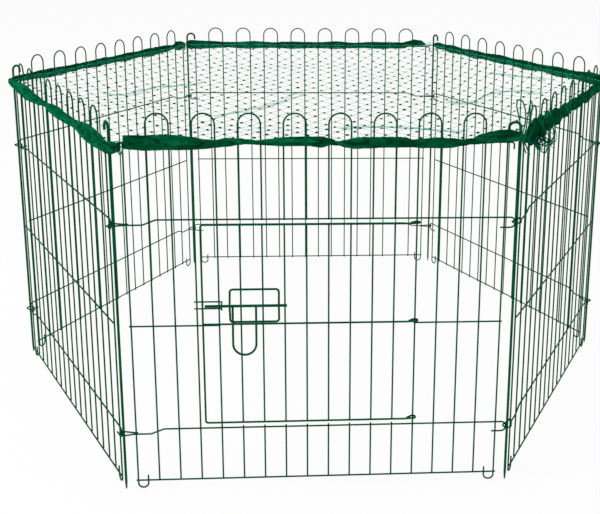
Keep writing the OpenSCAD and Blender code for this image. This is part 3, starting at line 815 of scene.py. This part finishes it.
def clearOfWires(p):
    # Moves a thread's point aside where an arch's leg or a stake stands in its way
    out, i = outsideBy(p)
    s = (p - middleOf(i)).dot(along(i))
    if abs(out) < net["legReach"]:
        k = round(s / wires["pitch"] + wires["last"] / 2)
        off = s - (k - wires["last"] / 2) * wires["pitch"]
        if abs(off) < net["legRoom"]:
            shove = math.copysign(net["legRoom"], off) - off
            p = p + along(i) * (shove * (1 - abs(out) / net["legReach"]) ** 0.5)
    for c in corners:
        off = Vector((p.x - c.x, p.y - c.y, 0))
        if off.length < net["stakeRoom"]:
            p = p + off.normalized() * (net["stakeRoom"] - off.length)
    return p


def alongFold(fold, t):
    # Place at share t of a fold's run
    place = t * (len(fold) - 1)
    n = min(int(place), len(fold) - 2)
    return Vector((*fold[n], 0)).lerp(Vector((*fold[n + 1], 0)), place - n)


def acrossFold(fold, t):
    run = alongFold(fold, min(1, t + 0.04)) - alongFold(fold, max(0, t - 0.04))
    return run.normalized().cross(upwards)


def creased(p):
    # Draws a point of the net in towards each fold that it lies near, with a small ripple along the fold
    for reach, fold in netCreases:
        places = crease["places"]
        t = min(range(places + 1), key=lambda n: (p - alongFold(fold, n / places)).length) / places
        side = acrossFold(fold, t)
        ripple = noise.noise(Vector((t * 9, 0.3, 0.7))) * crease["ripple"] * mm
        off = (p - alongFold(fold, t)).dot(side) - ripple
        ends = smoothStep((0.5 - abs(t - 0.5)) / crease["taper"])
        p = p - side * off * crease["pull"] * math.exp(-((off / reach) ** 2)) * ends
    return p


def creaseStrands():
    # Threads that lie bunched along each fold
    strands = []
    for number, (_, fold) in enumerate(netCreases):
        for phase in range(crease["strands"]):
            path = []
            for n in range(crease["strandSteps"] + 1):
                t = n / crease["strandSteps"]
                wave = noise.noise(Vector((n * 0.33, phase * 3.7, number * 5.1)))
                spread = noise.noise(Vector((n * 0.12, phase * 1.9, number * 5.1)))
                aside = spread * crease["strandSpread"] + wave * crease["strandWave"]
                aside += (phase - 1.5) * crease["strandGap"]
                p = alongFold(fold, t) + acrossFold(fold, t) * aside * mm
                path.append(Vector((p.x, p.y, netHeight(p) + (0.5 + wave * crease["strandLift"]) * mm)))
            strands.append(path)
    return strands


def netKnots(rng):
    # Knots in staggered rows, each a little off its place, but true beside the rails
    rows, columns = math.ceil(net["reach"][1] / net["rowPitch"]), math.ceil(net["reach"][0] / net["pitch"])
    knots = {}
    for r in range(-rows, rows + 1):
        for c in range(-columns, columns + 1):
            x = (c + (0.5 if r % 2 else 0)) * net["pitch"]
            p = Vector((x, (r + max(0, r) * net["farStretch"]) * net["rowPitch"], 0))
            # Two noises, because noise_vector doesn't repeat from one run to the next
            spot = p * net["driftScale"]
            drift = Vector((noise.noise(spot), noise.noise(spot + Vector((9.3, 1.5, 7.9))), 0))
            drift = drift * net["drift"] * mm + Vector(rng.normal(0, net["scatter"], 3)) * mm
            inside = -outsideBy(p)[0]
            knots[r, c] = p + Vector((drift.x, drift.y, 0)) * smoothStep(inside / net["calm"])
    return knots


def netThreads(knots, rng):
    # The thread between each two knots, cut at the border cord, and the places of the knots that are tied
    threads, tied = [], {}
    for (r, c), p in knots.items():
        for dc in ((0, 1) if r % 2 else (-1, 0)):
            q = knots.get((r + 1, c + dc))
            if q is None:
                continue
            outP, outQ = outsideBy(p)[0] - net["edge"], outsideBy(q)[0] - net["edge"]
            if outP > 0 and outQ > 0:
                continue
            a, b = p, q
            if outP > 0:
                a = p + (q - p) * outP / (outP - outQ)
            if outQ > 0:
                b = q + (p - q) * outQ / (outQ - outP)
            if (b - a).length < net["shortest"]:
                continue
            border = max(outP, outQ) > -net["beside"]
            steps = 7 if border else 3
            sway = rng.normal(0, net["threadSway"]) * mm
            aside = (b - a).normalized().cross(upwards)
            path = []
            for n in range(steps + 1):
                t = n / steps
                m = creased(a.lerp(b, t) + aside * sway * math.sin(math.pi * t))
                m = clearOfWires(m) if border else m
                path.append(Vector((m.x, m.y, netHeight(m) - net["threadSag"] * math.sin(math.pi * t))))
            threads.append(path)
            for key, spot, out in (((r, c), path[0], outP), ((r + 1, c + dc), path[-1], outQ)):
                if out < -net["untied"]:
                    tied[key] = spot
    return threads, tied


def knotMesh(spot, rng):
    # A six-sided bead, pointed at its two ends
    turn = rng.normal(0, net["knotTurn"])
    size = 1 + rng.normal(0, net["knotSizes"])
    lengthways = Vector((math.cos(turn), math.sin(turn), 0))
    across = Vector((-math.sin(turn), math.cos(turn), 0))
    vertices, faces = [], []
    for t, w in net["knotRings"]:
        for j in range(6):
            b = 2 * math.pi * j / 6
            vertices.append(
                spot + lengthways * t * net["knotLength"] * size
                + (across * math.cos(b) + upwards * math.sin(b)) * w * net["knotWidth"] / 2 * size
            )
    tips = (len(vertices), len(vertices) + 1)
    vertices.append(spot - lengthways * net["knotLength"] / 2 * size)
    vertices.append(spot + lengthways * net["knotLength"] / 2 * size)
    for j in range(6):
        k = (j + 1) % 6
        faces.append((tips[0], k, j))
        for a in (0, 6):
            faces.append((a + j, a + k, a + 6 + k, a + 6 + j))
        faces.append((tips[1], 12 + j, 12 + k))
    return vertices, faces


def borderPath():
    # Cord on the top rails, inside the sleeves
    path, steps = [], net["borderSteps"]
    for i in range(6):
        for n in range(steps):
            s = (n / steps - 0.5) * (panelWidth + 1.2 * net["edge"])
            path.append(panelPoint(i, s, -net["edge"], railTop + 0.8 * mm))
    return path + path[:1]


def makeNet():
    rng = np.random.default_rng(net["seed"])
    threads, tied = netThreads(netKnots(rng), rng)
    vertices, faces = tubeMesh(threads, net["thread"] / 2, 4)
    addMesh(vertices, faces, tubeMesh(creaseStrands(), net["thread"] * 0.55, 4))
    loose = len(vertices)
    for spot in tied.values():
        addMesh(vertices, faces, knotMesh(spot, rng))
    packed = len(vertices)
    addMesh(vertices, faces, tubeMesh([borderPath()], net["borderCord"], 6))
    piece = meshPiece("netMesh", vertices, faces)
    pointValues(piece, "tied", [float(loose <= v < packed) for v in range(len(vertices))])
    dress(piece, "net_thread", "net", "net_cover")
    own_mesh(piece)
    print("net of", len(threads), "threads and", len(tied), "knots")


lacing = {
    "strands": 5,
    "steps": 130,
    "width": 0.9 * mm,      # of a strand of bunched meshes
    "ends": 0.27,           # how far it goes each way from the panel's middle
    "outside": 3.45 * mm,
    "drop": 2,              # from strand to strand, and how far each wanders, in millimetres
    "wave": 7,
    "underHem": (1.5 * mm, 3 * mm),     # how far it stays inside the sleeve's lower and upper edge
}


def makeLacing():
    # The outermost meshes, drawn up over each top rail into its hem
    below, above = lacing["underHem"]
    for i, panel in enumerate(panelNames):
        stations = hemShapes[panel]
        first, last = max(stations[0][0] * mm, -lacing["ends"]), min(stations[-1][0] * mm, lacing["ends"])
        strands = []
        for phase in range(lacing["strands"]):
            path = []
            for n in range(lacing["steps"] + 1):
                s = first + (last - first) * n / lacing["steps"]
                wave = noise.noise(Vector((s * 40, phase * 2.3, i * 1.7)))
                low, high = (railAxis + eased(stations, s / mm, column) * mm for column in (1, 2))
                z = railTop + (1 - phase * lacing["drop"] + wave * lacing["wave"]) * mm
                z = max(low + below, min(high - above, z))
                path.append(panelPoint(i, s, -lacing["outside"], z))
            strands.append(path)
        vertices, faces = tubeMesh(strands, lacing["width"] / 2, 4)
        piece = meshPiece(panel + "_net_edge", vertices, faces)
        pointValues(piece, "tied", [0.0] * len(vertices))
        dress(piece, "net_thread", "hem_" + panel)


# Loose thread of the net's edge, caught up in loops where the hems' ends meet. Each panel's entry says, in
# millimetres, how far out its loops hang, up to where the drawstring's knot holds them and where they lie
# there, and the radius of the dark and the pale ones. A loop is its darkness, and its places along the
# panel with their heights.
tangles = {
    "right_front": {"out": 13.8, "knotEnd": -285, "knotY": -8, "thick": 0.98, "thin": 0.6, "loops": [
        (0.95, [(-227, 526), (-212, 529), (-187, 533), (-161, 526), (-147, 517), (-154, 509), (-185, 508),
                (-213, 516), (-233, 526)]),
        (0.35, [(-180, 529), (-148, 522), (-129, 510), (-134, 502), (-158, 499), (-187, 503)]),
        (0.85, [(-293, 537), (-280, 527), (-247, 513), (-207, 497), (-186, 500), (-168, 503), (-150, 503)]),
        (0.95, [(-268, 531), (-237, 516), (-200, 511), (-177, 514), (-197, 524), (-227, 525), (-207, 515),
                (-169, 507)]),
        (0.9, [(-255, 523), (-242, 513), (-218, 511), (-232, 521), (-209, 521), (-189, 511), (-199, 506)]),
        (0.5, [(-244, 525), (-212, 508), (-175, 505), (-158, 513), (-192, 527), (-215, 524), (-194, 509),
                (-161, 496)]),
        (0.85, [(-290, 533), (-266, 521), (-237, 520), (-251, 530), (-272, 528), (-253, 515), (-223, 506)]),
    ]},
    "front": {"out": 12.8, "knotEnd": -300, "knotY": -8, "thick": 0.7, "thin": 0.45, "loops": [
        (0.95, [(-272.8, 528.6), (-268.7, 531.4), (-265.4, 530), (-264.9, 526.5), (-268.3, 524.4),
                (-271.6, 525.8), (-272.1, 529.3), (-267.3, 532.1)]),
        (0.9, [(-270.2, 526.5), (-268.5, 521.7), (-270, 517.5), (-267.5, 514), (-265.9, 518.9)]),
        (0.2, [(-271.7, 524.4), (-273.2, 520.3), (-270.7, 516.8), (-267.9, 519.6), (-269, 523.7)]),
        (0.2, [(-266.3, 525.8), (-263.7, 522.3), (-264.6, 517.5), (-267.3, 516.8), (-267.1, 521.6)]),
    ]},
    "back": {"out": 3.4, "knotEnd": -300, "knotY": -8, "thick": 0.7, "thin": 0.5, "loops": [
        (0.3, [(-265.6, 531.4), (-270.3, 533.8), (-275.1, 531.5), (-279.7, 535), (-277.2, 538.5),
                (-273.8, 536.2), (-277.4, 530.3), (-283.3, 532.7)]),
        (0.9, [(-263.3, 529.8), (-267.9, 533.3), (-271.6, 529.4), (-277.4, 532.4), (-282.2, 530.1),
                (-285.6, 532.9)]),
    ]},
}


tangleLay = {
    "apart": 0.5,       # from one loop to the next outside it, in millimetres
    "weave": 1.6,
    "darkFrom": 0.6,    # loops from this darkness on have the thick radius
    "steps": 8,
    "sides": 6,
}


def curveThrough(points, steps):
    # Smooth line through the points, with a few steps between each pair
    line = []
    for n in range(len(points) - 1):
        a, b, c, d = (points[max(0, min(k, len(points) - 1))] for k in range(n - 1, n + 3))
        for k in range(steps):
            t = k / steps
            line.append(0.5 * (2 * b + (c - a) * t + (2 * a - 5 * b + 4 * c - d) * t**2
                               + (3 * b - a - 3 * c + d) * t**3))
    return line + [points[-1]]


def makeTangle(panel):
    choice = tangles[panel]
    i = panelNames.index(panel)
    vertices, faces, tied = [], [], []
    for number, (dark, route) in enumerate(choice["loops"]):
        points = []
        for n, (s, z) in enumerate(route):
            # The loops lie one outside the other, and each weaves in and out
            y = -choice["out"] - tangleLay["apart"] * number - tangleLay["weave"] * (n % 2)
            if s < choice["knotEnd"]:
                y = choice["knotY"]
            points.append(panelPoint(i, s * mm, y * mm, z * mm))
        radius = choice["thick" if dark > tangleLay["darkFrom"] else "thin"] * mm
        path = curveThrough(points, tangleLay["steps"])
        addMesh(vertices, faces, tubeMesh([path], radius, tangleLay["sides"]))
        tied += [dark] * (len(vertices) - len(tied))
    piece = meshPiece(panel + "_net_tangle", vertices, faces)
    pointValues(piece, "tied", tied)
    dress(piece, "net_thread", "hem_" + panel)


makeNet()
makeLacing()
for panel in tangles:
    makeTangle(panel)
print("net laid over the rails")


studio = {
    "floor": (0.92, 0.92, 0.92),
    "floorRadius": 30,
    "floorRoughness": 0.9,
    "floorSpecular": 0.1,
    "whiteShare": 0.90,     # of the floor's colour that the camera sees as plain white
    "ambient": 0.74,
    "aim": (0, 0, 0.3),
    "lamps": {
        "keyLight": {"place": (-2.7, -1.3, 2.7), "size": 2.0, "power": 62},
        "fillLight": {"place": (2.4, -0.8, 2.6), "size": 2.6, "power": 9},
    },
}


def seenStraight(nodes, links):
    # Light paths that look at the backdrop itself: the camera's and those mirrored in gloss
    ray = nodes.new("ShaderNodeLightPath")
    seen = mathFrom(nodes, links, "MAXIMUM", ray.outputs["Is Camera Ray"], ray.outputs["Is Glossy Ray"])
    return ray, seen


def makeFloor():
    bpy.ops.object.select_all(action="DESELECT")
    bpy.ops.mesh.primitive_circle_add(
        vertices=96, radius=studio["floorRadius"], fill_type="NGON", location=(0, 0, 0),
    )
    floor = bpy.context.object
    floor.name = "studioFloor"
    material, nodes, links, shader = newMaterial(
        "paleFloor", studio["floorRoughness"], studio["floorSpecular"],
    )
    shader.inputs["Base Color"].default_value = (*studio["floor"], 1)
    # The camera sees most of the floor as plain white, with the run's soft shadow left in the rest
    glow = nodes.new("ShaderNodeEmission")
    ray, seen = seenStraight(nodes, links)
    both = nodes.new("ShaderNodeMixShader")
    links.new(mathFrom(nodes, links, "MULTIPLY", seen, studio["whiteShare"]), both.inputs["Fac"])
    links.new(shader.outputs["BSDF"], both.inputs[1])
    links.new(glow.outputs["Emission"], both.inputs[2])
    links.new(both.outputs["Shader"], nodes["Material Output"].inputs["Surface"])
    floor.data.materials.append(material)


def makeBackdrop():
    world = bpy.data.worlds.new("studioWorld")
    bpy.context.scene.world = world
    world.use_nodes = True
    nodes, links = world.node_tree.nodes, world.node_tree.links
    background = nodes["Background"]
    background.inputs["Color"].default_value = (1, 1, 1, 1)
    ray, seen = seenStraight(nodes, links)
    seen = mathFrom(nodes, links, "MAXIMUM", seen, ray.outputs["Is Transmission Ray"])
    links.new(rangeFrom(nodes, links, seen, 0, 1, studio["ambient"], 1), background.inputs["Strength"])


def makeLamps():
    for name, lamp in studio["lamps"].items():
        data = bpy.data.lights.new(name, "AREA")
        data.shape, data.size, data.energy = "DISK", lamp["size"], lamp["power"]
        light = bpy.data.objects.new(name, data)
        bpy.context.scene.collection.objects.link(light)
        light.location = lamp["place"]
        aim = Vector(studio["aim"]) - Vector(lamp["place"])
        light.rotation_euler = aim.to_track_quat("-Z", "Y").to_euler()


makeFloor()
makeBackdrop()
makeLamps()
bpy.context.scene.view_settings.view_transform = "Standard"
print("studio lit")
